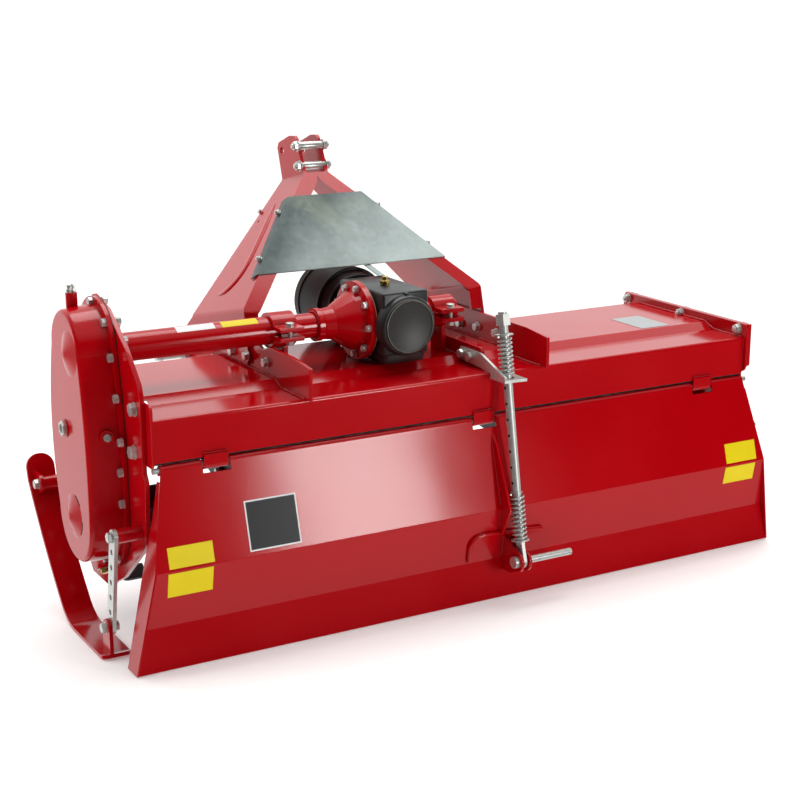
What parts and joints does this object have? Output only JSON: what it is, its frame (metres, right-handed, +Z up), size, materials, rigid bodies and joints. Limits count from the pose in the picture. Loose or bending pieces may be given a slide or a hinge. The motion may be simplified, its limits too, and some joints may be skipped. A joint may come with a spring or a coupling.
{
  "type": "rotary tiller",
  "caption": "Tractor-mounted rotary tiller: a gear-driven tined rotor under a hood, with a three-point hitch, side drive, skids and a sprung, hinged tail board.",
  "frame": {"origin": "on the ground under the middle of the machine's overall box", "axes": "+X to the machine's right seen from behind, along its working width; +Y forward, towards the tractor; +Z up"},
  "size_m": [1.703, 0.775, 0.978],
  "materials": {
    "red_paint": "gloss powder coat",
    "black_iron": "satin black paint on cast iron",
    "zinc_steel": "bright zinc plate",
    "galvanised": "galvanised sheet",
    "brass": "turned brass",
    "black_plastic": "moulded",
    "gasket": "matt",
    "black_paint": "satin black paint",
    "bare_steel": "machined, oiled"
  },
  "bodies": {
    "frame": {"case_cover": "red_paint", "case_filler": "zinc_steel", "case_gasket": "gasket", "gearbox_breather": "brass", "gearbox_housing": "black_iron", "gearbox_rear_cover": "black_iron", "gearbox_stub": "red_paint", "gearbox_trumpet": "red_paint", "hinge_rod": "zinc_steel", "hinge_tabs": "red_paint", "hood": "red_paint", "hood_end_left": "red_paint", "hood_end_right": "red_paint", "lower_hitch_stud_left": "zinc_steel", "lower_hitch_stud_right": "zinc_steel", "mast_arm_left": "red_paint", "mast_arm_right": "red_paint", "pto_shield": "black_plastic", "rotor_bearing_right": "red_paint", "shield_plate": "galvanised", "side_plate_left": "red_paint", "side_plate_right": "red_paint", "side_shaft_tube": "red_paint", "sight_plug": "zinc_steel", "skid_left": "red_paint", "skid_link_left": "galvanised", "skid_link_right": "galvanised", "skid_right": "red_paint", "skid_spacers_left": "red_paint", "skid_spacers_right": "red_paint", "spring_bracket": "galvanised", "spring_plate": "red_paint", "support_plate_left": "red_paint", "support_plate_right": "red_paint", "top_link_pin_lower": "zinc_steel", "top_link_pin_upper": "zinc_steel", "tube_clamp_left": "red_paint", "tube_clamp_right": "red_paint"},
    "rotor": {"rotor_tube": "black_paint", "tines": "black_paint"},
    "input_shaft": {"pto_shaft": "bare_steel"},
    "tail_board": {"tail_board": "red_paint", "tail_rib": "red_paint", "tail_lugs": "red_paint", "clevis_pin": "zinc_steel"},
    "spring_rod": {"spring_rod": "zinc_steel", "upper_spring": "zinc_steel", "lower_spring": "zinc_steel"}
  },
  "joints": [
    {"name": "rotor_spin", "type": "hinge", "parent": "frame", "child": "rotor", "pos_m": [0.0035, -0.0495, 0.265], "axis": [-1, 0, 0], "continuous": true},
    {"name": "input_shaft_spin", "type": "hinge", "parent": "frame", "child": "input_shaft", "pos_m": [-0.1185, 0.1325, 0.611], "axis": [0, 1, 0], "continuous": true},
    {"name": "tail_board_hinge", "type": "hinge", "parent": "frame", "child": "tail_board", "pos_m": [0.0035, -0.2615, 0.402], "axis": [-1, 0, 0], "range_deg": [0, 40]},
    {"name": "spring_rod_pivot", "type": "hinge", "parent": "tail_board", "child": "spring_rod", "pos_m": [0.0615, -0.3645, 0.1], "axis": [-1, 0, 0], "range_deg": [-8, 0]}
  ],
  "couplings": [
    {"joint": "input_shaft_spin", "follows": "rotor_spin", "ratio": 2.5},
    {"joint": "spring_rod_pivot", "follows": "tail_board_hinge", "ratio": -0.19}
  ]
}
